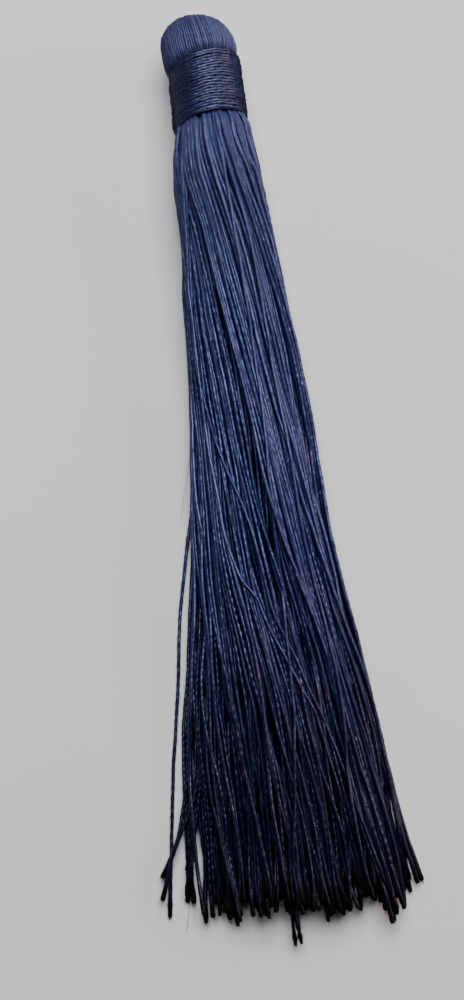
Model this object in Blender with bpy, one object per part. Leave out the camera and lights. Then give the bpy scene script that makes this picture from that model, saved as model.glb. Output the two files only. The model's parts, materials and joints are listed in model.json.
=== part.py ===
"""Thread tassel lying on its side.

Two pieces, as a maker would prepare them:
  hank     threads folded over at the top (the domed head), gathered at the neck and cut
           to length below it, so that they hang as the skirt
  binding  the same thread wound round the neck in close turns

Axes: +Y runs from the cut ends to the head, +Z is up, the floor is z = 0.
The origin is on the flat underside of the binding, half way along the neck.
Sizes are in millimetres and are turned into metres when a mesh is made.
"""
import math

import bmesh
import bpy
import numpy as np
from mathutils.geometry import delaunay_2d_cdt

MM = 0.001

# Head and neck
AXIS_HEIGHT = 5.05          # height of the head's axis above the floor
NECK_RADIUS = 4.25          # gathered threads inside the binding
ROOT_RADIUS = 4.15          # face from which the skirt's strands grow
ROOT_COVER = 0.4            # depth of that face inside the binding
ROOT_RIM = 0.04             # plain rim left round that face
NECK_STEP = 0.5             # length over which the neck narrows to that face
HEAD_COLUMNS = 60           # points round the head, two to a rib
RIB_DEPTH = 0.16            # lengthwise ribs of the folded threads

# Head outline from the neck to the crown: distance along the axis, radius, share of rib depth
HEAD_OUTLINE = (
    # along, radius, rib
    (3.30, 4.25, 0.0),
    (3.62, 4.90, 0.5),
    (4.30, 5.30, 1.0),
    (5.40, 5.26, 1.0),
    (6.60, 4.98, 1.0),
    (7.80, 4.40, 1.0),
    (8.80, 3.48, 1.0),
    (9.40, 2.45, 0.9),
    (9.70, 1.45, 0.6),
)
CROWN_ALONG = 9.80
HEAD_LEAN = -0.12           # the head leans to the left by this, per unit along

# Binding
BINDING_LOW = -6.45         # lower edge on the axis
BINDING_HIGH = 2.95         # upper edge on the axis
LOW_SLANT = 0.12            # rise of the lower edge from left to right, per unit across
HIGH_SLANT = 0.19           # the same for the upper edge
BINDING_BORE = 4.56
BORE_FLARE = 4.82           # the bore opens out to this at the low rim
FLARE_LENGTH = 1.3
TURN_COUNT = 12
TURN_COLUMNS = 48           # points round each turn
TURN_CREST = 5.28           # radius at the top of a turn
TURN_GROOVE = 5.10          # radius between two turns
EDGE_RADIUS = 5.00          # radius at the two rims
RIM_ROUND = 0.22            # how far the outer turns stand in from the rims
JOG_SHARE = 0.22            # part of each turn in which the thread steps to the next
JOG_START_TURN = 0.62       # where round the neck the steps lie, in turns from +X
TURN_UNEVEN = 0.05          # unevenness of the turns

# Strands of the skirt
ROOT_HALF = 0.215           # half the width of a strand at its root
ROOT_PITCH = 0.53
STRAND_HALF = 0.25          # half the width of a strand in the skirt
STRAND_GAP = 0.13           # clearance kept between strands
LEAST_GAP = 0.02            # the build stops if two strands come closer than this
WANDER_ACROSS = 0.35        # seeded spread of the strands off their places
WANDER_UP = 0.20
WANDER_KEEP = 0.6           # how much of a strand's offset carries on to the next section
LEAST_CHORD = 0.12          # keeps the outermost columns of the disc from dividing by nothing
SEED = 11

# Skirt sections: place along the axis, left and right edge, top, how flat the underside is, and
# how far the bundle has turned about its axis, in degrees, its top towards the right
SKIRT_SECTIONS = (
    # along, left, right, top, flat, turn
    (-8.6, -5.15, 5.30, 10.30, 0.10, 2.0),
    (-24.0, -6.05, 7.00, 8.60, 0.50, 24.0),
    (-44.0, -7.20, 8.60, 7.00, 0.80, 46.0),
    (-66.0, -9.50, 9.80, 5.70, 1.00, 66.0),
    (-88.0, -12.20, 12.60, 4.60, 1.00, 82.0),
    (-116.5, -14.30, 15.70, 3.80, 1.00, 88.0),
)

# Cut ends: the uneven line along which the strands are cut
CUT_LINE = (
    # across, along
    (-14.3, -112.1),
    (-12.5, -112.9),
    (-9.6, -113.7),
    (-8.0, -112.0),
    (-5.7, -113.0),
    (-3.7, -112.9),
    (-2.0, -111.4),
    (-0.4, -113.2),
    (2.5, -113.3),
    (4.4, -114.2),
    (7.1, -113.3),
    (9.6, -112.9),
    (10.6, -115.6),
    (12.3, -114.8),
    (12.9, -112.3),
    (15.5, -110.7),
)
END_SPREAD = 1.9            # strands are cut up to this much short of the line
SHORT_BELOW = 2.6           # the strands against the floor are shorter by this
SHORT_HEIGHT = 1.6          # strands above this height aren't shortened
LONG_ENDS = (
    # across, along
    (-1.3, -116.5),
    (0.5, -116.3),
)
CUT_MARGIN = 0.6            # clearance kept beyond a strand's cut end


def head_point(along, radius, turn):
    """Point on the head: distance along the axis, radius and angle in turns from +X."""
    angle = 2.0 * math.pi * turn
    lean = HEAD_LEAN * max(0.0, along - HEAD_OUTLINE[0][0])
    x = radius * math.cos(angle) + lean
    z = AXIS_HEIGHT + radius * math.sin(angle)
    return (x, along, max(z, 0.0))


def slanted(point, slant):
    """Move a point along the axis in proportion to its place across."""
    x, y, z = point
    return (x, y + slant * x, z)


def root_layout():
    """Places of the strands' roots: rows across the neck, each filled from edge to edge."""
    limit = ROOT_RADIUS - ROOT_RIM
    row_reach = limit - ROOT_HALF
    row_count = 2 * int(row_reach / ROOT_PITCH) + 1
    places = []
    for row in range(row_count):
        z = (row - (row_count - 1) / 2.0) * ROOT_PITCH
        corner = abs(z) + ROOT_HALF
        if corner >= limit:
            continue
        reach = math.sqrt(limit ** 2 - corner ** 2) - ROOT_HALF
        if reach < 0.0:
            continue
        count = int(2.0 * reach / ROOT_PITCH) + 1
        for index in range(count):
            share = 0.5 if count == 1 else index / (count - 1)
            places.append((reach * (2.0 * share - 1.0), z))
    return np.array(places)


def turned(across, height, degrees):
    """Turn unit-disc places about the skirt's axis, the upper ones towards the right."""
    angle = math.radians(degrees)
    return (
        across * math.cos(angle) + height * math.sin(angle),
        height * math.cos(angle) - across * math.sin(angle),
    )


def section_target(across, height, section):
    """Carry unit-disc places over to one section of the skirt."""
    _, left, right, top, flat, turn = section
    across, height = turned(across, height, turn)
    chord = np.sqrt(np.clip(1.0 - across ** 2, 0.0, 1.0))
    share = 0.5 + 0.5 * height / np.maximum(chord, LEAST_CHORD)
    share = np.clip(share, 0.0, 1.0)
    low = STRAND_HALF
    crest = top - STRAND_HALF
    middle = 0.5 * (low + crest)
    edge = (1.0 - flat) * middle + flat * low
    floor_line = edge + (low - edge) * chord
    top_line = edge + (crest - edge) * chord
    reach = 0.5 * (right - left) - STRAND_HALF
    x = 0.5 * (left + right) + across * reach
    return x, floor_line + share * (top_line - floor_line)


# Loose strands at the left: which root (counted from the outermost low left one), the places
# across at the last two sections, how far they lie above the floor and where they are cut
LOOSE_STRANDS = (
    # rank, across_mid, across_low, rise, end
    (1, -13.40, -17.35, 0.00, -111.4),
    (0, -12.60, -20.05, 0.68, -106.4),
    (3, -11.80, -19.80, 0.68, -109.2),
)
LOW_PREFERENCE = 0.12       # low roots come before high ones in that count

# Strands lying slantwise over the top: place across at the first section, then how far each has
# moved across, against its neighbours, at every later section
SLANT_STRANDS = (
    # start, drift at each section after the first
    (-3.6, (0.2, 0.6, 1.0, 4.6, 5.2)),
    (-1.2, (-0.4, -1.0, -0.4, 1.6, 2.0)),
    (0.8, (-0.6, -1.6, -3.0, -4.2, -4.8)),
)
SLANT_LIFT = 0.45           # how far they lie above the strands they cross
SLANT_REACH = 1.2           # strands within this distance count as crossed
TOP_SHARE = 0.80            # roots above this share of the neck's height can lie over the top

# Solving for the strands' places
SOLVER_ROUNDS = 2000
SLICE_SHARES = tuple(np.arange(10) / 10.0)
NEAR_ROUNDS = 15            # rounds between two searches for neighbours
NEAR_MARGIN = 0.5
CHECK_SLICES = 21           # slices between two stations when the gaps are checked
WANTED_PULL = 0.05          # how strongly strands are drawn to their wanted places
PUSH_SHARE = 0.65           # part of each overlap taken out in one round


def strand_targets(roots, random):
    """Where each strand would like to be at every station, before they are pushed apart."""
    reach = ROOT_RADIUS - ROOT_RIM - ROOT_HALF
    across = roots[:, 0] / reach
    height = roots[:, 1] / reach
    spread = np.maximum(1.0, np.hypot(across, height))
    across = across / spread
    height = height / spread
    count = len(roots)
    stations = len(SKIRT_SECTIONS) + 1
    x = np.zeros((stations, count))
    z = np.zeros((stations, count))
    x[0] = roots[:, 0]
    z[0] = AXIS_HEIGHT + roots[:, 1]
    wander = random.normal(0.0, 1.0, (2, count))
    for station, section in enumerate(SKIRT_SECTIONS, start=1):
        x[station], z[station] = section_target(across, height, section)
        if station > 1:
            fresh = math.sqrt(1.0 - WANDER_KEEP ** 2)
            wander = WANDER_KEEP * wander + fresh * random.normal(0.0, 1.0, (2, count))
            x[station] += WANDER_ACROSS * wander[0] * (1.0 - across ** 4)
            z[station] += WANDER_UP * wander[1]

    low_across, low_height = turned(across, height, SKIRT_SECTIONS[-1][-1])
    left_low = np.argsort(low_across + LOW_PREFERENCE * low_height)
    loose = {}
    for rank, across_mid, across_low, rise, end in LOOSE_STRANDS:
        strand = int(left_low[rank])
        loose[strand] = end
        x[-2, strand] = across_mid
        x[-1, strand] = across_low
        z[-2, strand] = STRAND_HALF + rise
        z[-1, strand] = STRAND_HALF + rise

    top_line = TOP_SHARE * np.sqrt(np.clip(1.0 - across ** 2, 0.0, 1.0))
    top_row = [i for i in range(count) if height[i] > top_line[i]]
    slant = []
    for start, drift in SLANT_STRANDS:
        strand = min((i for i in top_row if i not in slant), key=lambda i: abs(x[1, i] - start))
        slant.append(strand)
        z[1, strand] += SLANT_LIFT
        for step, moved in enumerate(drift):
            x[2 + step, strand] += moved
            crossed = np.abs(x[2 + step] - x[2 + step, strand]) < SLANT_REACH
            z[2 + step, strand] = z[2 + step][crossed].max() + SLANT_LIFT
    return x, z, loose


def cut_ends(x, z, loose, random):
    """Where along the axis each strand is cut."""
    across, along = np.array(CUT_LINE).T
    low = np.clip(1.0 - (z[-1] - STRAND_HALF) / SHORT_HEIGHT, 0.0, 1.0)
    ends = np.interp(x[-1], across, along) + SHORT_BELOW * low
    ends += END_SPREAD * random.uniform(0.0, 1.0, len(ends))
    for place, end in LONG_ENDS:
        ends[np.argmin(np.abs(x[-1] - place) + LOW_PREFERENCE * z[-1])] = end
    for strand, end in loose.items():
        ends[strand] = end
    return ends


def slice_table(stations):
    """Check slices: the station each one follows and its share of the way to the next."""
    table = [(station, share) for station in range(stations - 1) for share in SLICE_SHARES]
    return table[1:] + [(stations - 2, 1.0)]


def strands_at(places, base, share):
    """Interpolate station values to the slices."""
    return places[base] * (1.0 - share) + places[base + 1] * share


def uncut(ends, base, share, stations):
    """Which strands still run on at each slice."""
    first = SKIRT_SECTIONS[-2][0]
    along = first + share * (SKIRT_SECTIONS[-1][0] - first)
    reached = along + CUT_MARGIN >= ends[None, :]
    return reached | (base[:, None] < stations - 2)


def near_pairs(x_slice, z_slice, room, pairs):
    """Pairs of strands close enough to touch soon: slice, first strand, second strand."""
    dx = np.abs(x_slice[:, :, None] - x_slice[:, None, :])
    dz = np.abs(z_slice[:, :, None] - z_slice[:, None, :])
    return np.nonzero(pairs & (dx < room + NEAR_MARGIN) & (dz < room + NEAR_MARGIN))


def side_limits(half, loose):
    """How far left and right each strand may lie at every station below the root."""
    left = np.array([section[1] for section in SKIRT_SECTIONS])[:, None] + half[1:]
    right = np.array([section[2] for section in SKIRT_SECTIONS])[:, None] - half[1:]
    for strand in loose:
        left[:, strand] = -math.inf
    return left, right


def push_apart(x, z, half, ends, limits):
    """Move the strands until no two come closer than the gap anywhere along their length."""
    stations, count = x.shape
    slices = slice_table(stations)
    base = np.array([station for station, _ in slices])
    share = np.array([part for _, part in slices])[:, None]
    room = strands_at(half, base, share)
    room = room[:, :, None] + room[:, None, :] + STRAND_GAP
    runs_on = uncut(ends, base, share, stations)
    once = np.triu(np.ones((count, count), dtype=bool), 1)
    pairs = runs_on[:, :, None] & runs_on[:, None, :] & once[None]
    weight = (1.0 - share) ** 2 + share ** 2
    collar = SKIRT_SECTIONS[0][3] - half[1]
    size = len(slices) * count
    wanted_x = x.copy()
    wanted_z = z.copy()
    for turn in range(SOLVER_ROUNDS):
        pull = WANTED_PULL * max(0.0, 1.0 - turn / (0.5 * SOLVER_ROUNDS))
        x[1:] += pull * (wanted_x[1:] - x[1:])
        z[1:] += pull * (wanted_z[1:] - z[1:])
        x_slice = strands_at(x, base, share)
        z_slice = strands_at(z, base, share)
        if turn % NEAR_ROUNDS == 0:
            layer, first, second = near_pairs(x_slice, z_slice, room, pairs)
            allowed = room[layer, first, second]
            at_first = layer * count + first
            at_second = layer * count + second
        dx = x_slice[layer, first] - x_slice[layer, second]
        dz = z_slice[layer, first] - z_slice[layer, second]
        over_x = allowed - np.abs(dx)
        over_z = allowed - np.abs(dz)
        hit = (over_x > 0.0) & (over_z > 0.0)
        by_x = hit & (over_x <= over_z)
        by_z = hit & ~by_x
        for places, apart, over, chosen in ((x, dx, over_x, by_x), (z, dz, over_z, by_z)):
            push = np.where(chosen, over * np.sign(apart), 0.0)
            move = np.bincount(at_first, push, size) - np.bincount(at_second, push, size)
            touches = np.bincount(at_first, chosen, size) + np.bincount(at_second, chosen, size)
            move = (PUSH_SHARE * move / np.maximum(1.0, touches)).reshape(len(slices), count)
            total = np.zeros_like(places)
            hits = np.zeros_like(places)
            for end, factor in ((0, 1.0 - share), (1, share)):
                np.add.at(total, base + end, move * factor / weight)
                np.add.at(hits, base + end, (move != 0.0) * factor)
            places[1:] += (total / np.maximum(1.0, hits))[1:]
        x[1:] = np.clip(x[1:], *limits)
        z[1:] = np.maximum(z[1:], half[1:])
        z[1] = np.minimum(z[1], collar)
    return x, z


def closest_gap(x, z, half, ends):
    """Least clearance between any two strands, looked for at close slices."""
    stations, count = x.shape
    first, second = np.triu_indices(count, 1)
    least = math.inf
    for station in range(stations - 1):
        for part in np.linspace(0.0, 1.0, CHECK_SLICES):
            base = np.array([station])
            share = np.array([[part]])
            xs = strands_at(x, base, share)[0]
            zs = strands_at(z, base, share)[0]
            hs = strands_at(half, base, share)[0]
            runs_on = uncut(ends, base, share, stations)[0]
            apart = np.maximum(np.abs(xs[first] - xs[second]), np.abs(zs[first] - zs[second]))
            gap = apart - hs[first] - hs[second]
            gap = gap[runs_on[first] & runs_on[second]]
            least = min(least, float(gap.min()))
    return least


def strand_stations():
    """Solve the skirt: for each strand, its list of stations (x, y, z, half width)."""
    random = np.random.default_rng(SEED)
    roots = root_layout()
    x, z, loose = strand_targets(roots, random)
    ends = cut_ends(x, z, loose, random)
    half = np.full(x.shape, STRAND_HALF)
    half[0] = ROOT_HALF
    x, z = push_apart(x, z, half, ends, side_limits(half, loose))
    least = closest_gap(x, z, half, ends)
    if least < LEAST_GAP:
        raise RuntimeError("two strands come within %.3f mm" % least)
    along = [BINDING_LOW + ROOT_COVER] + [section[0] for section in SKIRT_SECTIONS]
    strands = []
    for strand in range(x.shape[1]):
        stations = []
        for station, y in enumerate(along[:-1]):
            slant = LOW_SLANT * x[station, strand] if station == 0 else 0.0
            stations.append((x[station, strand], y + slant, z[station, strand], half[station, strand]))
        share = (ends[strand] - along[-2]) / (along[-1] - along[-2])
        x_end = x[-2, strand] + share * (x[-1, strand] - x[-2, strand])
        z_end = z[-2, strand] + share * (z[-1, strand] - z[-2, strand])
        stations.append((x_end, ends[strand], z_end, half[-1, strand]))
        strands.append(stations)
    return strands


def square(station, slant=0.0):
    """Corners of a strand's section."""
    x, y, z, half = station
    corners = ((-half, -half), (half, -half), (half, half), (-half, half))
    return [(x + across, y + slant * across, z + up) for across, up in corners]


def make_object(name, points, faces, material):
    """Turn points in millimetres and faces into a closed, outward-facing object."""
    mesh = bpy.data.meshes.new(name)
    mesh.from_pydata([(x * MM, y * MM, z * MM) for x, y, z in points], [], faces)
    work = bmesh.new()
    work.from_mesh(mesh)
    bmesh.ops.recalc_face_normals(work, faces=work.faces)
    work.to_mesh(mesh)
    work.free()
    mesh.materials.append(material)
    made = bpy.data.objects.new(name, mesh)
    bpy.context.scene.collection.objects.link(made)
    return made


def thread_material(name, colour, roughness):
    """Plain satin thread."""
    material = bpy.data.materials.new(name)
    material.use_nodes = True
    shader = material.node_tree.nodes["Principled BSDF"]
    shader.inputs["Base Color"].default_value = (*colour, 1.0)
    shader.inputs["Roughness"].default_value = roughness
    shader.inputs["Metallic"].default_value = 0.0
    return material


def head_rings():
    """Rings of points from the crown down to the root face, with each ring's slant."""
    rings = []
    highest = HEAD_OUTLINE[-1][0]
    lowest = HEAD_OUTLINE[0][0]
    for along, radius, rib in reversed(HEAD_OUTLINE):
        fade = (highest - along) / (highest - lowest)
        ring = []
        for column in range(HEAD_COLUMNS):
            depth = rib * RIB_DEPTH * (column % 2)
            point = head_point(along, radius - depth, column / HEAD_COLUMNS)
            ring.append(slanted(point, HIGH_SLANT * fade))
        rings.append(ring)
    for along, radius, slant in (
        (BINDING_LOW + ROOT_COVER + NECK_STEP, NECK_RADIUS, LOW_SLANT),
        (BINDING_LOW + ROOT_COVER, ROOT_RADIUS, LOW_SLANT),
    ):
        turns = [column / HEAD_COLUMNS for column in range(HEAD_COLUMNS)]
        rings.append([slanted(head_point(along, radius, turn), slant) for turn in turns])
    return rings


def bridge(faces, first, second, count):
    """Join two rings of points, given by the index of their first point."""
    for column in range(count):
        after = (column + 1) % count
        faces.append((first + column, first + after, second + after, second + column))


def root_face(points, rim, squares):
    """Fill the root face between its rim and the strands that leave it."""
    inputs = list(rim)
    edges = [(i, (i + 1) % len(rim)) for i in range(len(rim))]
    for start in squares:
        first = len(inputs)
        inputs.extend(range(start, start + 4))
        edges.extend((first + i, first + (i + 1) % 4) for i in range(4))
    flat = [(points[i][0], points[i][2]) for i in inputs]
    result = delaunay_2d_cdt(flat, edges, [], 0, 1e-7)
    triangles = result[2]
    origins = [inputs[found[0]] for found in result[3]]
    faces = []
    for triangle in triangles:
        corners = [origins[i] for i in triangle]
        owners = {(i - squares[0]) // 4 for i in corners}
        if len(owners) == 1 and corners[0] >= squares[0]:
            continue
        faces.append(tuple(corners))
    return faces


def build_hank(material):
    """Folded head, neck and skirt in one piece."""
    points = [head_point(CROWN_ALONG, 0.0, 0.0)]
    faces = []
    rings = head_rings()
    for ring in rings:
        points.extend(ring)
    for column in range(HEAD_COLUMNS):
        faces.append((0, 1 + column, 1 + (column + 1) % HEAD_COLUMNS))
    for index in range(len(rings) - 1):
        first = 1 + index * HEAD_COLUMNS
        bridge(faces, first, first + HEAD_COLUMNS, HEAD_COLUMNS)
    rim_start = 1 + (len(rings) - 1) * HEAD_COLUMNS

    squares = []
    strands = strand_stations()
    for stations in strands:
        squares.append(len(points))
        points.extend(square(stations[0], LOW_SLANT))
    for start, stations in zip(squares, strands):
        previous = start
        for station in stations[1:]:
            current = len(points)
            points.extend(square(station))
            bridge(faces, previous, current, 4)
            previous = current
        faces.append((previous, previous + 1, previous + 2, previous + 3))
    faces.extend(root_face(points, range(rim_start, rim_start + HEAD_COLUMNS), squares))
    return make_object("hank", points, faces, material)


def turn_place(turns):
    """Place along the neck, in turns, of the wound thread after so many turns."""
    whole = math.floor(turns + 1e-9)
    part = turns - whole
    step = max(0.0, (part - 1.0 + JOG_SHARE) / JOG_SHARE)
    return whole + step * step * (3.0 - 2.0 * step)


def binding_point(place, radius, column, offset):
    """Point of the binding: place from 0 at the low rim to 1 at the high rim."""
    turn = JOG_START_TURN + column / TURN_COLUMNS
    along = BINDING_LOW + (BINDING_HIGH - BINDING_LOW) * place + offset
    slant = LOW_SLANT + (HIGH_SLANT - LOW_SLANT) * place
    return slanted(head_point(along, radius, turn), slant)


def build_binding(material):
    """Thread wound round the neck: a spiral of crests and grooves, closed by a smooth bore."""
    random = np.random.default_rng(SEED + 1)
    lift = random.uniform(-1.0, 1.0, TURN_COUNT + 2) * TURN_UNEVEN
    sway = random.uniform(0.0, 1.0, TURN_COUNT + 2)
    span = BINDING_HIGH - BINDING_LOW
    usable = 1.0 - 2.0 * RIM_ROUND / span
    steps = TURN_COUNT * TURN_COLUMNS
    points = []
    faces = []

    def wound(step, half_turn):
        """One point of the spiral; half_turn is 0 on a crest and 0.5 in the groove after it."""
        turns = step / TURN_COLUMNS
        share = (turn_place(turns) + half_turn) / TURN_COUNT
        place = RIM_ROUND / span + usable * min(1.0, share)
        index = int(turns + half_turn)
        angle = 2.0 * math.pi * (turns + sway[index])
        crest = TURN_CREST + lift[index] * (0.6 + 0.4 * math.cos(angle))
        radius = crest if half_turn == 0.0 else TURN_GROOVE
        offset = TURN_UNEVEN * math.sin(angle) * math.sin(math.pi * share)
        return binding_point(place, radius, step % TURN_COLUMNS, offset)

    low_rim = len(points)
    points.extend(binding_point(0.0, EDGE_RADIUS, c, 0.0) for c in range(TURN_COLUMNS))
    crest_start = len(points)
    points.extend(wound(step, 0.0) for step in range(steps + 1))
    groove_start = len(points)
    points.extend(wound(step, 0.5) for step in range(steps - TURN_COLUMNS + 1))
    high_rim = len(points)
    points.extend(binding_point(1.0, EDGE_RADIUS, c, 0.0) for c in range(TURN_COLUMNS))
    low_flare = len(points)
    points.extend(binding_point(0.0, BORE_FLARE, c, 0.0) for c in range(TURN_COLUMNS))
    low_bore = len(points)
    points.extend(binding_point(FLARE_LENGTH / span, BINDING_BORE, c, 0.0) for c in range(TURN_COLUMNS))
    high_bore = len(points)
    points.extend(binding_point(1.0, BINDING_BORE, c, 0.0) for c in range(TURN_COLUMNS))

    for step in range(steps - TURN_COLUMNS):
        crest = crest_start + step
        groove = groove_start + step
        above = crest + TURN_COLUMNS
        faces.append((crest, crest + 1, groove + 1, groove))
        faces.append((groove, groove + 1, above + 1, above))
    last = crest_start + steps - TURN_COLUMNS
    for column in range(TURN_COLUMNS):
        after = (column + 1) % TURN_COLUMNS
        faces.append((low_rim + column, low_rim + after, crest_start + column + 1, crest_start + column))
        faces.append((last + column, last + column + 1, high_rim + after, high_rim + column))
    faces.append((low_rim, crest_start, groove_start, crest_start + TURN_COLUMNS))
    final_groove = groove_start + steps - TURN_COLUMNS
    faces.append((high_rim, last, final_groove, crest_start + steps))
    bridge(faces, low_flare, low_rim, TURN_COLUMNS)
    bridge(faces, low_bore, low_flare, TURN_COLUMNS)
    bridge(faces, high_rim, high_bore, TURN_COLUMNS)
    bridge(faces, high_bore, low_bore, TURN_COLUMNS)
    return make_object("binding", points, faces, material)


def main():
    """Build the tassel in an empty scene."""
    for old in list(bpy.data.objects):
        bpy.data.objects.remove(old, do_unlink=True)
    hank_thread = thread_material("hank_thread", (0.012, 0.014, 0.030), 0.45)
    binding_thread = thread_material("binding_thread", (0.010, 0.011, 0.022), 0.38)
    build_hank(hank_thread)
    build_binding(binding_thread)


main()
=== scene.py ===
"""Dresses the lying thread tassel: twisted skirt strands, folded head and wound binding.

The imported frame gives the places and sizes; this script adds the threads that show on it.
"""

import json
import math

import bmesh
import bpy
import numpy as np
from mathutils import Matrix, Vector

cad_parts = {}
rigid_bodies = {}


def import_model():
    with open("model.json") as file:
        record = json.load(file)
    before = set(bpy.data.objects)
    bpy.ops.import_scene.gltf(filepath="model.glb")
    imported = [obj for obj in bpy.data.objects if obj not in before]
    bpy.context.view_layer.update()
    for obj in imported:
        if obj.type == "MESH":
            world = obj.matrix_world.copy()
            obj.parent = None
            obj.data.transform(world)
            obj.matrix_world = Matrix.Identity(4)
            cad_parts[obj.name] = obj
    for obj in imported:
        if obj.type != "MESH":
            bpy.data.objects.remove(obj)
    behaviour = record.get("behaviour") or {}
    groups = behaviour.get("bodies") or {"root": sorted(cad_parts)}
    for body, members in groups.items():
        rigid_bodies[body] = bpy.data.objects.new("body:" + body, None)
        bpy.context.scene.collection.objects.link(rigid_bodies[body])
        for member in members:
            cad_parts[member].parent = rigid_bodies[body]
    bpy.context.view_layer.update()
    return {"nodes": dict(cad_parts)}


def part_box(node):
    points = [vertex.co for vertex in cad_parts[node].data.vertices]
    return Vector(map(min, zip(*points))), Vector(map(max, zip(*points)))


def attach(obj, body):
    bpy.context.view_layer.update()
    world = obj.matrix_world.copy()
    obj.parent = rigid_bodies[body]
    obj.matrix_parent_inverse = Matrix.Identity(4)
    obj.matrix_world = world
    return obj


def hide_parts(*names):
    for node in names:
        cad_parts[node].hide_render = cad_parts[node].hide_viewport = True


bl_info = {
    "name": "Thread Tassel",
    "version": (1, 0, 0),
    "blender": (4, 5, 0),
    "location": "3D View > Sidebar > Tassel",
    "description": "Twisted skirt strands, folded head threads and wound binding of a lying tassel",
    "category": "Object",
}

MM = 0.001
BODY = "root"

for default_object in list(bpy.data.objects):
    bpy.data.objects.remove(default_object, do_unlink=True)
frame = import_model()


def node_corners(node):
    """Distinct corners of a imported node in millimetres, and its triangles by those corners."""
    mesh = frame["nodes"][node].data
    places = np.zeros(len(mesh.vertices) * 3)
    mesh.vertices.foreach_get("co", places)
    places = np.round(places.reshape(-1, 3) / MM, 3)
    corners, owner = np.unique(places, axis=0, return_inverse=True)
    owner = owner.reshape(-1)
    loops = np.zeros(len(mesh.loops), dtype=np.int64)
    mesh.loops.foreach_get("vertex_index", loops)
    return corners, owner[loops].reshape(-1, 3)


def highest_corner(node):
    """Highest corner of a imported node's box in millimetres."""
    return np.array(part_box(node)[1]) / MM


HANK_HIGH = highest_corner("hank")
AXIS_HEIGHT = 5.05  # height of the tassel's axis over the floor
AXIS = np.array([0.0, AXIS_HEIGHT])
CREST_RADIUS = float(highest_corner("binding")[2]) - AXIS_HEIGHT


# ---- sizes and colours

def length(name, text, millimetres, least=0.0):
    """A length that a user can change, kept in metres."""
    return bpy.props.FloatProperty(
        name=name, description=text, default=millimetres * MM, min=least, precision=5,
        subtype="DISTANCE", unit="LENGTH",
    )


def angle_of(name, text, degrees):
    """An angle that a user can change, kept in radians."""
    return bpy.props.FloatProperty(
        name=name, description=text, default=math.radians(degrees), subtype="ANGLE", unit="ROTATION")


def share(name, text, value, least=0.0, most=10.0):
    """A plain number that a user can change."""
    return bpy.props.FloatProperty(name=name, description=text, default=value, min=least, max=most)


def count(name, text, value, least=1, most=400):
    """A whole number that a user can change."""
    return bpy.props.IntProperty(name=name, description=text, default=value, min=least, max=most)


def turn_length(millimetres):
    """The length of a thread's twist."""
    return length("Turn Length", "Length of one full turn of the two plies", millimetres)


def groove_depth(value):
    """The depth of a thread's groove."""
    return share("Groove Depth", "Depth of the groove between the plies, as a share of the radius", value)


def colour(name, text, value):
    """A colour that a user can change."""
    return bpy.props.FloatVectorProperty(
        name=name, description=text, default=value, size=3, min=0.0, max=1.0, subtype="COLOR",
    )


class TasselSkirtSizes(bpy.types.PropertyGroup):
    """Sizes of the skirt's strands."""

    thickness: length("Strand Thickness", "Thickness of one twisted strand", 0.57)
    turn_length: turn_length(2.3)
    groove_depth: groove_depth(0.20)
    outer_count: count("Detailed Strands", "How many of the strands that show most are made finely", 100)
    hidden_count: count("Hidden Strands", "How many of the strands that show least are made coarsely", 90)
    lock_count: count("Locks", "Groups in which the strands cling together", 38)
    cling: share("Cling", "How far the strands of a lock draw together", 0.34, 0.0, 1.0)
    wander: length("Wander", "How far a strand strays by the cut ends", 0.75)
    sway: length("Sway", "How far a strand wanders from its line", 0.10)
    sway_length: length("Sway Length", "Length over which a strand wanders", 7.0)
    bloom: share("Bloom", "How much thicker the strands are just under the binding", 0.36)
    bloom_length: length("Bloom Length", "Length over which that thickness fades", 17.0)
    end_swell: share("End Swell", "How much thicker a strand gets where it is cut", 0.26)
    end_length: length("End Length", "Length of the loosened cut end", 5.5)
    seed: count("Seed", "Seed of the strands' unevenness", 7)


class TasselHeadSizes(bpy.types.PropertyGroup):
    """Sizes of the folded head."""

    loop_count: count("Loops", "Threads folded over the crown side by side", 46)
    thickness: length("Thread Thickness", "Thickness of one folded thread", 0.46)
    turn_length: turn_length(2.6)
    groove_depth: groove_depth(0.16)
    widest: length("Widest Place", "Distance of the head's widest ring from the origin", 4.0)
    radius: length("Head Radius", "Radius of the head at its widest ring", 5.36)
    fullness: share("Fullness", "Squareness of the dome, 2 for an ellipse", 2.65, 1.0, 6.0)
    lean: share("Lean", "How far the head leans to the left, per unit along", 0.12)
    seed: count("Seed", "Seed of the threads' unevenness", 3)


class TasselBindingSizes(bpy.types.PropertyGroup):
    """Sizes of the wound binding."""

    turn_count: count("Turns", "Turns of thread round the neck", 21)
    thickness: length("Thread Thickness", "Thickness of the wound thread", 0.64)
    turn_length: turn_length(3.1)
    groove_depth: groove_depth(0.16)
    low_edge: length("Low Edge", "Place of the lower edge on the axis", -6.45, -1.0)
    high_edge: length("High Edge", "Place of the upper edge on the axis", 2.95, -1.0)
    low_slant: share("Low Slant", "Rise of the lower edge from left to right", 0.12)
    high_slant: share("High Slant", "Rise of the upper edge from left to right", 0.19)
    seed: count("Seed", "Seed of the turns' unevenness", 5)


class TasselFuzzSizes(bpy.types.PropertyGroup):
    """Sizes of the loose fibres."""

    thickness: length("Fibre Thickness", "Thickness of one loose fibre", 0.05)
    loose_count: count("Loose Fibres", "Short fibres that stand off the strands", 70)
    tuft_count: count("Tuft Fibres", "Fibres that stand out of each cut end", 3)
    seed: count("Seed", "Seed of the fibres' places", 17)


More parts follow.
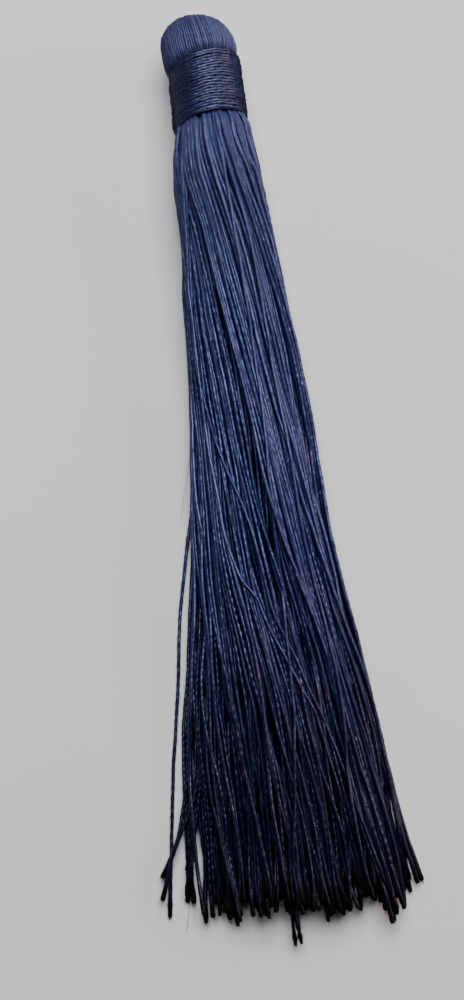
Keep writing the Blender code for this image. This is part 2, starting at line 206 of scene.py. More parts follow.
class TasselColours(bpy.types.PropertyGroup):
    """Colours of the thread, some with painted light and shade on them."""

    skirt: colour("Skirt", "Body colour of the strands", (0.0082, 0.0120, 0.0690))
    # painted light: the same thread as the skirt, lighter where the light beyond the head falls on the
    # strands
    root: colour("Root", "Body colour just under the binding", (0.0240, 0.0285, 0.0850))
    # painted light: the same thread as the skirt, lighter where the light falls on the head
    head: colour("Head", "Body colour of the folded threads", (0.0280, 0.0330, 0.0980))
    # painted shade: the same thread as the skirt, darker where the binding's sides face away from the light
    binding: colour("Binding", "Body colour of the wound thread", (0.0068, 0.0084, 0.0370))
    # painted shade: the strands darker towards their cut ends, farther from the light beyond the head
    tip: colour("Tip", "Body colour near the cut ends", (0.0023, 0.0027, 0.0130))
    cut_end: colour("Cut End", "Colour of the loosened cut ends", (0.0032, 0.0022, 0.0020))
    # partly the thread's own blue-violet sheen, partly a painted blue sky reflection
    gloss: colour("Gloss Tint", "Tint of the thread's gloss", (0.54, 0.59, 1.00))
    # painted reflection: the gloss greyer near the cut ends, where less of the blue sky is reflected
    tip_gloss: colour("Tip Gloss Tint", "Tint of the gloss near the cut ends", (0.67, 0.65, 0.90))


class TasselStageSettings(bpy.types.PropertyGroup):
    """Floor, lights and camera."""

    floor: colour("Floor", "Colour of the plain floor", (0.64, 0.64, 0.635))
    lens: bpy.props.FloatProperty(name="Lens", description="Focal length in millimetres", default=54.0)
    distance: length("Distance", "Camera distance from the aim point", 202.376)
    tilt: angle_of("Tilt", "Camera angle from straight down", 12.0)
    lean: angle_of("Lean", "Turn of the view against the tassel", 6.5)
    aim: bpy.props.FloatVectorProperty(
        name="Aim Point", description="Point of the floor in the middle of the view",
        default=(-2.981 * MM, -58.256 * MM, 0.0), size=3, subtype="TRANSLATION", unit="LENGTH",
    )
    sky_power: share("Sky Strength", "Strength of the broad light beyond the head", 12.6, 0.0, 1000.0)


# ---- node helpers

class Flow:
    """An output in a node tree. Arithmetic with it adds the nodes that work it out."""

    def __init__(self, sheet, socket):
        self.sheet = sheet
        self.socket = socket

    def __add__(self, other):
        return self.sheet.maths("ADD", self, other)

    def __sub__(self, other):
        return self.sheet.maths("SUBTRACT", self, other)

    def __mul__(self, other):
        return self.sheet.maths("MULTIPLY", self, other)

    def __truediv__(self, other):
        return self.sheet.maths("DIVIDE", self, other)


class NodeSheet:
    """Adds nodes to a tree and joins them, with a value or a flow for each named socket."""

    def __init__(self, tree):
        self.tree = tree

    def fill(self, node, values):
        """Join a flow to each named socket of a node, or set the socket's own value."""
        for name, value in values.items():
            socket = node.inputs[name]
            if isinstance(value, Flow):
                self.tree.links.new(value.socket, socket)
            elif socket.type == "RGBA":
                socket.default_value = (*tuple(value)[:3], 1.0)
            else:
                socket.default_value = value

    def add(self, kind, values=None, **options):
        """Add a node, set its options and fill its sockets."""
        node = self.tree.nodes.new(kind)
        for option, value in options.items():
            setattr(node, option, value)
        self.fill(node, values or {})
        return node

    def take(self, kind, values=None, output=0, **options):
        """Add a node and take one of its outputs."""
        return Flow(self, self.add(kind, values, **options).outputs[output])

    def outputs(self, node):
        """All the outputs of a node by name."""
        return {socket.name: Flow(self, socket) for socket in node.outputs}

    def maths(self, operation, *values):
        """One step of arithmetic."""
        return self.take("ShaderNodeMath", dict(enumerate(values)), operation=operation)

    def vector(self, operation, first, second):
        """One step of vector arithmetic."""
        values = {0: first, ("Scale" if operation == "SCALE" else 1): second}
        return self.take("ShaderNodeVectorMath", values, operation=operation)

    def join(self, x, y, z):
        """A vector from its three parts."""
        return self.take("ShaderNodeCombineXYZ", {0: x, 1: y, 2: z})

    def split(self, vector):
        """The three parts of a vector."""
        return self.outputs(self.add("ShaderNodeSeparateXYZ", {0: vector})).values()

    def noise(self, place, detail, roughness=0.5, output=0):
        """Soft noise one unit across."""
        values = {"Vector": place, "Scale": 1.0, "Detail": detail, "Roughness": roughness}
        return self.take("ShaderNodeTexNoise", values, output)

    def spread(self, value, from_low, from_high, to_low, to_high, kind="LINEAR"):
        """Carry a value from one range over to another."""
        values = dict(enumerate((value, from_low, from_high, to_low, to_high)))
        return self.take("ShaderNodeMapRange", values, interpolation_type=kind)

    def mix(self, part, first, second):
        """A colour between two others."""
        values = {"Factor": part, "A": first, "B": second}
        return self.take("ShaderNodeMix", values, "Result", data_type="RGBA")

    def capture(self, geometry, **values):
        """Keep values on a geometry, as they are before its next change."""
        node = self.add("GeometryNodeCaptureAttribute")
        for name, value in values.items():
            node.capture_items.new("VECTOR" if value.socket.type == "VECTOR" else "FLOAT", name)
        self.fill(node, {"Geometry": geometry, **values})
        return self.outputs(node)


THREAD_INPUTS = {
    # label: default, in metres where it is a length
    "Thickness": 0.5 * MM,
    "Turn Length": 2.3 * MM,
    "Ring Spacing": 0.3 * MM,
    "Profile Points": 8,
    "Plies": 2,
    "Groove Depth": 0.4,
    "Sway": 0.0,
    "Sway Length": 9.0 * MM,
    "Bloom": 0.0,
    "Bloom Length": 14.0 * MM,
    "End Swell": 0.0,
    "End Length": 3.6 * MM,
    "Seed": 1,
}
PATH_VALUES = ("phase", "girth", "tightness")
PHASE_APART = 97.0  # how far apart in the noise two threads lie, for a phase of 1
BUMPS_PER_METRE = 420.0  # pace of a thread's uneven thickness
UNEVEN = 0.07  # most that its thickness changes by, as a share
SINK = 0.96  # height of a thread's middle on the floor, in its own radii
END_ROUND = 0.72  # thickness of the very end of a thread, as a share
END_UNTWIST = 0.4  # share of its twist that a cut end has lost
ROOT_UNTWIST = 5.0  # bloom times this says how much slower a full start turns
PACE_VARIETY = 5.7  # makes the pace of a thread's twist from its phase
PACE_RANGE = (0.75, 1.25)
GROOVE_POWER = 5.0  # how narrow the groove is at a full start


def thread_tree():
    """Geometry Nodes that turn paths into twisted threads of several plies.

    The paths' points carry "phase" (0 to 1, one value a thread), "girth" (a thickness factor) and
    "tightness" (a factor on the groove between the plies).
    The threads carry "thread": the direction round the thread and the distance along it in
    millimetres, and "to_end": the distance to the cut end in millimetres.
    """
    tree = bpy.data.node_groups.new("twisted_thread", "GeometryNodeTree")
    tree.interface.new_socket("Paths", in_out="INPUT", socket_type="NodeSocketGeometry")
    for label, default in THREAD_INPUTS.items():
        kind = "NodeSocketInt" if isinstance(default, int) else "NodeSocketFloat"
        tree.interface.new_socket(label, in_out="INPUT", socket_type=kind).default_value = default
    tree.interface.new_socket("Finish", in_out="INPUT", socket_type="NodeSocketMaterial")
    tree.interface.new_socket("Threads", in_out="OUTPUT", socket_type="NodeSocketGeometry")
    sheet = NodeSheet(tree)
    given = sheet.outputs(sheet.add("NodeGroupInput"))
    phase, girth, tightness = (
        sheet.take("GeometryNodeInputNamedAttribute", {"Name": name}, data_type="FLOAT")
        for name in PATH_VALUES
    )
    radius = given["Thickness"] * 0.5

    curve = sheet.take("GeometryNodeMeshToCurve", {"Mesh": given["Paths"]})
    curve = sheet.take("GeometryNodeCurveSplineType", {"Curve": curve}, spline_type="CATMULL_ROM")
    curve = sheet.take(
        "GeometryNodeResampleCurve", {"Curve": curve, "Length": given["Ring Spacing"]}, mode="LENGTH")

    # the thread wanders from its path, one way for each thread
    place = sheet.take("GeometryNodeInputPosition")
    apart = sheet.maths("MULTIPLY_ADD", phase, PHASE_APART, given["Seed"])
    wave = sheet.vector("DIVIDE", place, sheet.join(*[given["Sway Length"]] * 3))
    wave = sheet.vector("ADD", wave, sheet.join(apart, apart * 1.7, apart))
    swing = sheet.vector("SUBTRACT", sheet.noise(wave, 2.0, 0.45, "Color"), (0.5, 0.5, 0.5))
    swing = sheet.vector("SCALE", swing, given["Sway"] * 4.0)
    curve = sheet.take("GeometryNodeSetPosition", {"Geometry": curve, "Offset": swing})

    # no thread's middle comes lower than about its own radius over the floor
    x, y, z = sheet.split(place)
    level = sheet.maths("MAXIMUM", z, radius * (girth * SINK))
    curve = sheet.take("GeometryNodeSetPosition", {"Geometry": curve, "Position": sheet.join(x, y, level)})

    # thickness: fuller at the start, swollen at the cut end, a little uneven between
    run = sheet.take("GeometryNodeSplineParameter", output="Length")
    to_end = sheet.take("GeometryNodeSplineLength", output="Length") - run
    start_full = sheet.spread(run, 0.0, given["Bloom Length"], given["Bloom"], 0.0, "SMOOTHSTEP")
    end_full = sheet.spread(to_end, 0.0, given["End Length"], given["End Swell"], 0.0, "SMOOTHSTEP")
    bumps = sheet.take("ShaderNodeTexNoise", {
        "W": sheet.maths("MULTIPLY_ADD", run, BUMPS_PER_METRE, apart), "Scale": 1.0, "Detail": 1.0,
    }, noise_dimensions="1D")
    fullness = (start_full + end_full) + (sheet.spread(bumps, 0.2, 0.8, -UNEVEN, UNEVEN) + 1.0)
    thick = radius * girth * fullness * sheet.spread(to_end, 0.0, radius * 0.8, END_ROUND, 1.0)

    # twist: whole turns along the thread, slower where the cut end has loosened and near a full start
    loosened = sheet.maths("MAXIMUM", given["End Length"] - to_end, 0.0)
    turned = run - loosened * loosened / given["End Length"] * END_UNTWIST
    part = sheet.spread(run, 0.0, given["Bloom Length"], 0.0, 1.0)
    slack = sheet.maths("MULTIPLY_ADD", sheet.maths("POWER", part, 4.0), 0.25, part * -1.0)
    held = sheet.maths("MINIMUM", given["Bloom"] * ROOT_UNTWIST, 1.0)
    turned = sheet.maths("MULTIPLY_ADD", slack * given["Bloom Length"], held, turned)
    pace = sheet.spread(sheet.maths("FRACT", phase * PACE_VARIETY), 0.0, 1.0, *PACE_RANGE)
    tilt = (turned / (given["Turn Length"] * pace) + phase) * math.tau
    curve = sheet.take("GeometryNodeSetCurveTilt", {"Curve": curve, "Tilt": tilt})
    kept = sheet.capture(curve, tilt=tilt, run=run, to_end=to_end, start=start_full, middle=place)

    circle = sheet.take(
        "GeometryNodeCurvePrimitiveCircle", {"Resolution": given["Profile Points"], "Radius": 1.0})
    around = sheet.take("GeometryNodeInputIndex") * math.tau / given["Profile Points"]
    marked = sheet.capture(circle, around=around)
    tube = sheet.take("GeometryNodeCurveToMesh", {
        "Curve": kept["Geometry"], "Profile Curve": marked["Geometry"], "Scale": thick, "Fill Caps": True})

    # the round tube is drawn in between the plies, deeper on some threads than on others
    pinch = sheet.maths("ABSOLUTE", sheet.maths("SINE", marked["around"] * (given["Plies"] * 0.5)))
    narrow = sheet.maths("POWER", pinch, GROOVE_POWER) * kept["start"]
    depth = narrow + pinch * given["Groove Depth"] * tightness
    inward = sheet.vector("SCALE", sheet.vector("SUBTRACT", kept["middle"], place), depth)
    tube = sheet.take("GeometryNodeSetPosition", {"Geometry": tube, "Offset": inward})

    bearing = marked["around"] + kept["tilt"]
    thread = sheet.join(
        sheet.maths("COSINE", bearing), sheet.maths("SINE", bearing), kept["run"] * (1.0 / MM))
    end_mm = kept["to_end"] * (1.0 / MM)
    for name, value, kind in (("thread", thread, "FLOAT_VECTOR"), ("to_end", end_mm, "FLOAT")):
        tube = sheet.take("GeometryNodeStoreNamedAttribute", {
            "Geometry": tube, "Name": name, "Value": value}, data_type=kind)
    tube = sheet.take("GeometryNodeSetShadeSmooth", {"Geometry": tube})
    tube = sheet.take("GeometryNodeRealizeInstances", {"Geometry": tube})
    tube = sheet.take("GeometryNodeSetMaterial", {"Geometry": tube, "Material": given["Finish"]})
    sheet.add("NodeGroupOutput", {"Threads": tube})
    return tree


def put_in_scene(name, data):
    """A new object in the scene, at the origin."""
    made = bpy.data.objects.new(name, data)
    bpy.context.scene.collection.objects.link(made)
    return made


def lay_threads(name, paths, finish, sizes, **settings):
    """Run the thread nodes over paths and keep the result as a plain mesh object.

    A path is a tuple: points in millimetres, phase, girth and tightness of its twist.
    Each input of the nodes takes the setting of its name, or else the size of its name.
    """
    lines, *columns = zip(*paths)
    points = np.vstack(lines) * MM
    counts = [len(line) for line in lines]
    ends = set(np.cumsum(counts) - 1)
    mesh = bpy.data.meshes.new(name + "_paths")
    mesh.from_pydata(points.tolist(), [(i, i + 1) for i in range(len(points)) if i not in ends], [])
    for label, values in zip(PATH_VALUES, columns):
        values = np.repeat(values, counts).astype(np.float32)
        mesh.attributes.new(label, "FLOAT", "POINT").data.foreach_set("value", values)
    guide = put_in_scene(name + "_paths", mesh)

    tree = bpy.data.node_groups.get("twisted_thread") or thread_tree()
    modifier = guide.modifiers.new("twist", "NODES")
    modifier.node_group = tree
    settings["finish"] = finish
    for item in tree.interface.items_tree:
        key = item.name.lower().replace(" ", "_")
        if item.in_out == "INPUT" and (key in settings or hasattr(sizes, key)):
            modifier[item.identifier] = settings[key] if key in settings else getattr(sizes, key)
    guide.update_tag()
    bpy.context.view_layer.update()
    evaluated = guide.evaluated_get(bpy.context.evaluated_depsgraph_get())
    made = bpy.data.meshes.new_from_object(evaluated)
    made.name = name
    bpy.data.objects.remove(guide, do_unlink=True)
    bpy.data.meshes.remove(mesh)
    if not made.polygons:
        raise RuntimeError(name + " came out empty")
    work = bmesh.new()
    work.from_mesh(made)
    if work.calc_volume(signed=True) < 0.0:
        bmesh.ops.reverse_faces(work, faces=work.faces)
    work.to_mesh(made)
    work.free()
    return put_in_scene(name, made)


def take_place(pieces, node):
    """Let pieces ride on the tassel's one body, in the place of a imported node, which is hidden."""
    for piece in pieces:
        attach(piece, BODY)
        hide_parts(node)


# ---- thread finishes

FINISHES = {
    # fibre lines, streak length, gloss low and high, roughness low and high, bump, how far the
    # thread's look changes from its root to its cut end (painted light at the root, painted shade
    # towards the cut end), how far sideways its gloss starts and ends to fade, and what is left of it
    # there (painted shade on the thread's flanks, strongest on the wound thread)
    "skirt_thread": (2.6, 2.4, 0.34, 1.74, 0.27, 0.48, 0.4, 1.0, 0.30, 0.90, 0.10),
    "head_thread": (3.5, 1.2, 0.88, 1.23, 0.46, 0.62, 0.8, 0.0, 0.30, 0.90, 0.10),
    "wound_thread": (3.0, 1.6, 0.93, 1.97, 0.36, 0.52, 0.8, 0.0, 0.13, 0.54, 0.02),
}
GLOSS_IOR = 1.42
FIBRE_TONE_AND_SHADE = (0.55, 1.60)  # darkest and lightest fibre lines, as shares of the body colour: a random tone per strand, with painted shade in the low fibre lines and painted light on the high ones
ROOT_RANGE = (6.0, 34.0)  # distances along a strand over which its root's look fades: painted light, duller gloss and rougher fibres
TIP_RANGE = (6.0, 56.0)  # distances from the cut end over which the tip's look fades: painted shade, duller and greyer gloss, smoother fibres
END_RANGE = (1.0, 4.5)  # distances from the cut end over which the cut end's look fades
GLOSS_LEFT = (0.60, 0.50, 0.25)  # share of the gloss at the root, near the tip and at the end
SMOOTHER_TIPS = 0.07
ROUGHER_ROOTS = 0.08
FIBRE_HEIGHT = 0.06 * MM  # height of the fibre lines' relief
SHADE_SPREAD = 389.0  # spreads the phases of threads apart, so that each has its own shade
SHADE_APART = 61.0


def fibre_group():
    """Shader group: fibre lines along a thread and the unevenness of its colour and gloss."""
    group = bpy.data.node_groups.get("thread_fibres")
    if group:
        return group
    group = bpy.data.node_groups.new("thread_fibres", "ShaderNodeTree")
    face = group.interface
    for label, value in (("Lines", 5.0), ("Streak Length", 1.6), ("Unevenness", 0.5)):
        face.new_socket(label, in_out="INPUT", socket_type="NodeSocketFloat").default_value = value
    for label in ("Height", "Patches", "Strand Shade", "Root Mask", "Tip Mask", "End Mask"):
        face.new_socket(label, in_out="OUTPUT", socket_type="NodeSocketFloat")
    sheet = NodeSheet(group)
    given = sheet.outputs(sheet.add("NodeGroupInput"))
    thread, phase, to_end = (
        sheet.take("ShaderNodeAttribute", output=output, attribute_name=name)
        for name, output in (("thread", "Vector"), ("phase", "Fac"), ("to_end", "Fac"))
    )
    x, y, along = sheet.split(thread)
    apart = sheet.maths("FRACT", phase * SHADE_SPREAD) * SHADE_APART
    lines = sheet.join(x * given["Lines"], y * given["Lines"], along / given["Streak Length"])
    lines = sheet.vector("ADD", lines, sheet.join(apart, apart, apart))
    patches = sheet.noise(sheet.join(x, y, sheet.maths("MULTIPLY_ADD", along, 0.16, apart)), 2.0)
    shade = sheet.take("ShaderNodeTexWhiteNoise", {"W": apart}, "Value", noise_dimensions="1D")
    sheet.add("NodeGroupOutput", {
        "Height": sheet.noise(lines, 3.0, 0.6),
        "Patches": sheet.spread(patches, 0.3, 0.7, 0.0, 1.0),
        "Strand Shade": sheet.maths("MULTIPLY_ADD", shade - 0.5, given["Unevenness"], 0.5),
        # the root and tip masks carry painted light at the root and painted shade towards the cut end
        "Root Mask": sheet.spread(along, *ROOT_RANGE, 1.0, 0.0, "SMOOTHSTEP"),
        "Tip Mask": sheet.spread(to_end, *TIP_RANGE, 1.0, 0.0, "SMOOTHSTEP"),
        "End Mask": sheet.spread(to_end, *END_RANGE, 1.0, 0.0, "SMOOTHSTEP"),
    })
    return group


def new_material(name):
    """A new material, its node sheet and its shader."""
    material = bpy.data.materials.new(name)
    material.use_nodes = True
    return material, NodeSheet(material.node_tree), material.node_tree.nodes["Principled BSDF"]


def two_tones(tint, low, high):
    """A darker and a lighter colour made from one."""
    return [part * low for part in tint], [min(1.0, part * high) for part in tint]


def thread_finish(name, part):
    """Satin thread: dark body, tinted gloss, fine fibre lines and uneven strands, with painted light at the
    root and painted shade towards the cut end and on the flanks.
    """
    tints = bpy.context.scene.tassel_colours
    (lines, streak, gloss_low, gloss_high, rough_low, rough_high, bump, darkens,
        fade_start, fade_end, fade_left) = FINISHES[name]
    material, sheet, shader = new_material(name)
    fibres = {"Lines": lines, "Streak Length": streak, "Unevenness": 1.0}
    found = sheet.outputs(sheet.add("ShaderNodeGroup", fibres, node_tree=fibre_group()))
    roots, tips, ends = (found[label] * darkens for label in ("Root Mask", "Tip Mask", "End Mask"))
    tone = sheet.mix(found["Strand Shade"] * found["Height"], *two_tones(getattr(tints, part), *FIBRE_TONE_AND_SHADE))

    # some strands shine and others stay dull, and each varies along its length
    liveliness = sheet.maths("MULTIPLY_ADD", found["Patches"], 0.45, found["Strand Shade"] * 0.55)
    level = sheet.spread(liveliness, 0.25, 0.72, gloss_low, gloss_high)
    # mix in the root, tip and cut end colours and lower the gloss there: the root colour is painted light,
    # the tip colour painted shade
    own_tints = (tints.root, tints.tip, tints.cut_end)
    for mask, tint, gloss_left in zip((roots, tips, ends), own_tints, GLOSS_LEFT):
        tone = sheet.mix(mask, tone, tint)
        level = level * sheet.spread(mask, 0.0, 1.0, 1.0, gloss_left)
    # gloss fades where the surface turns sideways to the view: painted shade on the thread's flanks,
    # strongest on the wound thread
    sideways = sheet.take("ShaderNodeLayerWeight", {"Blend": 0.5}, "Facing")
    rough = sheet.spread(liveliness, 0.15, 0.85, rough_high, rough_low)
    sheet.fill(shader, {
        "Base Color": tone,
        "Specular IOR Level": level * sheet.spread(sideways, fade_start, fade_end, 1.0, fade_left),
        # painted reflection: the gloss tint turns greyer towards the cut ends
        "Specular Tint": sheet.mix(tips, tints.gloss, tints.tip_gloss),
        "Roughness": rough - tips * SMOOTHER_TIPS + roots * ROUGHER_ROOTS,
        "IOR": GLOSS_IOR,
        "Normal": sheet.take("ShaderNodeBump", {
            "Strength": sheet.maths("MULTIPLY_ADD", roots, 0.6, bump),
            "Distance": FIBRE_HEIGHT,
            "Height": found["Height"],
        }),
    })
    return material


# ---- skirt

SKIRT_BELOW = -7.5  # the skirt's stations lie below this
STATION_COUNT = 6  # stations of a strand below the binding
START_DEPTH = 1.5  # how far inside the binding a strand starts, from its lower edge
BULGE = ((1.09, 0.0), (0.96, -1.1))  # widening below the binding, and how far below it
PATH_STEP = 2.5  # distance between a path's points along the axis


def ramp(value, start, span):
    """0 up to a start, then rising to 1 over a span."""
    return np.clip((value - start) / span, 0.0, 1.0)


def at_level(path, y, part, **beyond):
    """A path's place across (0) or its height (2) at distances along the axis."""
    return np.interp(-y, -path[:, 1], path[:, part], **beyond)


def at_levels(paths, y, **beyond):
    """Places across and heights of all paths at distances along the axis."""
    return np.array([np.array([at_level(path, y, part, **beyond) for part in (0, 2)]).T for path in paths])


def evened(values, reach):
    """Values along a strand, each the mean of those within reach of it."""
    width = 2 * reach + 1
    return np.convolve(np.pad(values, reach, mode="edge"), np.ones(width) / width, mode="valid")


def covered(height, apart, reach, thickness):
    """How high a round strand at this height covers a place this far beside it, or 0 past its reach."""
    near = np.clip(1.0 - (apart / reach) ** 2, 0.0, 1.0)
    return np.where(near > 0.0, height + 0.5 * thickness * np.sqrt(near), 0.0)


def frame_strands():
    """Centre lines of the frame's strands: root, then the stations down to the cut end."""
    corners, triangles = node_corners("hank")
    below = corners[:, 1] < SKIRT_BELOW
    owner = np.arange(len(corners))
    inside = triangles[below[triangles].all(axis=1)]
    links = np.vstack([inside[:, (0, 1)], inside[:, (1, 2)]])
    before = None
    while before is None or (owner != before).any():
        lowest = np.minimum(owner[links[:, 0]], owner[links[:, 1]])
        before = owner.copy()
        np.minimum.at(owner, links[:, 0], lowest)
        np.minimum.at(owner, links[:, 1], lowest)
        owner = owner[owner]
    crossing = triangles[below[triangles].any(axis=1) & ~below[triangles].all(axis=1)]
    roots = {}
    for triangle in crossing:
        strand = owner[triangle[below[triangle]][0]]
        roots.setdefault(strand, set()).update(triangle[~below[triangle]].tolist())
    strands = []
    for strand in sorted(roots):
        members = corners[below & (owner == strand)]
        members = members[np.argsort(-members[:, 1], kind="stable")]
        stations = members.reshape(STATION_COUNT, 4, 3).mean(axis=1)
        strands.append(np.vstack([corners[sorted(roots[strand])].mean(axis=0), stations]))
    return strands


def smooth_run(stations, step):
    """Smooth line through stations, which run steadily down the axis, with a point every step."""
    y = -stations[:, 1]
    slopes = np.gradient(stations[:, (0, 2)], y, axis=0)
    wanted = np.linspace(y[0], y[-1], max(3, int((y[-1] - y[0]) / step) + 1))
    piece = np.clip(np.searchsorted(y, wanted, side="right") - 1, 0, len(y) - 2)
    span = (y[piece + 1] - y[piece])[:, None]
    t = ((wanted - y[piece]) / span[:, 0])[:, None]
    start, after = stations[piece][:, (0, 2)], stations[piece + 1][:, (0, 2)]
    leave, arrive = slopes[piece] * span, slopes[piece + 1] * span
    bend = (2 * t ** 3 - 3 * t ** 2 + 1) * start + (t ** 3 - 2 * t ** 2 + t) * leave
    bend = bend + (3 * t ** 2 - 2 * t ** 3) * after + (t ** 3 - t ** 2) * arrive
    return np.column_stack([bend[:, 0], -wanted, bend[:, 1]])


def skirt_path(strand, edge):
    """One strand's path: out of the binding, over its bulge, and down to the cut end."""
    root = strand[0]
    rim = edge.low_edge / MM + edge.low_slant * root[0]
    stations = [(root[0], rim + START_DEPTH, root[2])]
    for place, (factor, beyond) in zip(strand, BULGE):
        across, height = AXIS + factor * (place[(0, 2),] - AXIS)
        stations.append((across, rim + beyond, height))
    stations.extend(tuple(place) for place in strand[1:])
    return smooth_run(np.array(stations), PATH_STEP)


LOOSE_LINES = (
    # places down a strand at the lower left or right corner, ending at its cut end: along, across, height
    ((-55.0, -7.50, 0.6), (-63.2, -9.46, 0.5), (-73.8, -11.66, 0.4), (-84.2, -13.17, 0.4),
     (-94.3, -14.76, 0.4), (-104.3, -16.08, 0.4), (-111.4, -16.95, 0.4)),
    ((-66.0, -8.60, 0.8), (-83.9, -11.02, 0.9), (-93.2, -12.54, 1.0), (-99.0, -14.10, 1.1),
     (-102.7, -15.40, 1.1), (-106.4, -17.50, 1.0)),
    ((-66.0, -9.00, 1.4), (-88.0, -10.90, 1.9), (-94.9, -11.60, 1.9), (-98.5, -13.10, 1.8),
     (-103.1, -15.50, 1.5), (-109.2, -17.60, 1.1)),
    ((-89.9, 12.28, 0.9), (-97.3, 13.27, 0.7), (-105.3, 14.41, 0.5), (-107.8, 14.97, 0.4),
     (-110.5, 15.56, 0.4)),
    ((-89.8, 10.96, 1.2), (-96.7, 11.88, 1.0), (-104.8, 12.88, 0.8), (-108.4, 13.31, 0.6),
     (-111.7, 13.90, 0.5)),
    ((-89.9, 11.57, 1.6), (-96.8, 12.60, 1.5), (-103.9, 13.60, 1.3), (-107.2, 14.19, 1.1),
     (-110.7, 14.88, 1.0)),
    ((-89.8, 10.11, 2.0), (-96.6, 11.03, 1.8), (-104.7, 11.92, 1.5), (-108.3, 12.35, 1.3),
     (-112.1, 12.88, 1.1)),
)
CROSSING_LINES = (
    # places down a strand that lies slantwise over the others: along, across
    ((-5.2, -3.8), (-26.0, -5.1), (-39.8, -5.9), (-50.0, -4.6), (-56.0, -3.3), (-61.0, -1.6),
     (-66.4, -0.6), (-74.6, 0.3), (-79.6, 2.2), (-86.0, 4.2), (-92.0, 6.2), (-98.5, 7.8), (-110.0, 10.4)),
    ((-5.2, -4.1), (-30.0, -5.6), (-48.0, -5.6), (-58.5, -5.0), (-64.0, -4.7), (-70.0, -3.2),
     (-73.0, -1.3), (-76.0, -0.6), (-80.0, 1.0), (-88.0, 4.3), (-99.0, 6.4), (-111.5, 7.9)),
    ((-5.2, 0.4), (-28.0, 1.6), (-46.0, 2.2), (-60.0, 2.0), (-74.0, 1.9), (-88.0, 1.6),
     (-100.0, 0.2), (-112.5, -1.8)),
)
INFILL = (
    # place along, most space between the two strands, least distance from the axis, how many
    (-10.0, 1.30, 3.5, 78),
    (-66.0, 1.30, 0.0, 46),
)
SHOULDER = (
    # distance below the middle of the binding, farthest from the axis that a top strand goes
    (6.0, 4.70), (7.0, 5.00), (8.5, 5.20), (10.5, 5.40), (13.0, 5.70), (17.0, 6.60),
)
SIDES_SEEN = ((90, 3.0), (55, 1.5), (125, 1.5), (15, 1.0), (165, 1.0))  # degrees up, weight
TUCK_RADIUS = 4.3  # distance from the axis at which a slanting strand leaves the binding
LEAVE_BINDING = (5.0, 8.0)  # from where, and over what length, it comes to lie on the others
LOOSE_JOIN = 5.0  # length over which a frame's strand joins its own loose line
LOCK_ROUNDS = 6  # rounds of sorting the strands into locks
PULL_RANGE = (0.3, 1.7)  # weakest and strongest lock, against the cling that is asked for
MOST_PULL = 0.75  # no strand is drawn farther than this share of the way
HOLD_START = (9.0, 26.0)  # a lock holds from this far down the skirt, in full after that length
STRAY_START = (20.0, 90.0)  # the same for how strands stray
WAVE_LENGTHS = (26.0, 60.0)  # lengths over which a strand strays
END_KICK = 0.35  # how far a cut end turns aside
KICK_LENGTH = 7.0  # length of the end that does
INFILL_START = 5.0  # where the strands between two others begin, below the origin
TOP_STRANDS = (8.2, 0.5)  # the shoulder is rounded from this height, in full after that much more
HIGH_STRANDS = (2.5, 1.5)  # the same for what is drawn inwards
SETTLED_GAPS = (0.25, 1.1)  # room left over and beside a settled strand, in thicknesses
SETTLE_RANGE = (7.0, 104.0)  # distances down the skirt between which strands are settled
FAR = 1000.0  # farther than any strand
OUTER_PIECES = 4  # pieces that the detailed strands are shared among
GIRTH_SPREAD = 0.06  # unevenness of the strands' thickness, as a share
GIRTH_RANGE = (0.86, 1.14)


def follow_loose_lines(strands):
    """Lay the frame's strands at the two lower corners along their own lines."""
    loose = []
    for line in LOOSE_LINES:
        places = np.array(line)[:, (1, 0, 2)]
        nearest = min(
            (i for i in range(len(strands)) if i not in loose),
            key=lambda i: np.hypot(*(strands[i][-1] - places[-1])[:2]),
        )
        above = strands[nearest][strands[nearest][:, 1] > places[0, 1] + LOOSE_JOIN]
        strands[nearest] = np.vstack([above, places])
        loose.append(nearest)
    return loose


def crossing_paths(paths, thickness):
    """Strands that leave the binding with the others and lie slantwise on top of them."""
    laid = []
    for line in CROSSING_LINES:
        along, across = np.array(line).T
        y = -np.append(np.arange(-along[0], -along[-1], PATH_STEP), -along[-1])
        x = np.interp(-y, -along, across)
        top = np.full(len(y), 0.5 * thickness)
        for path in paths + laid:
            apart = at_level(path, y, 0, right=FAR) - x
            top = np.maximum(top, covered(at_level(path, y, 2), apart, thickness, thickness))
        tucked = AXIS[1] + np.sqrt(np.maximum(TUCK_RADIUS ** 2 - x ** 2, 0.0))
        out = ramp(-y, *LEAVE_BINDING)
        out = out * out * (3.0 - 2.0 * out)
        top = evened(top, 2)
        laid.append(np.column_stack([x, y, np.minimum(top, tucked + (top - tucked) * out)]))
    return laid


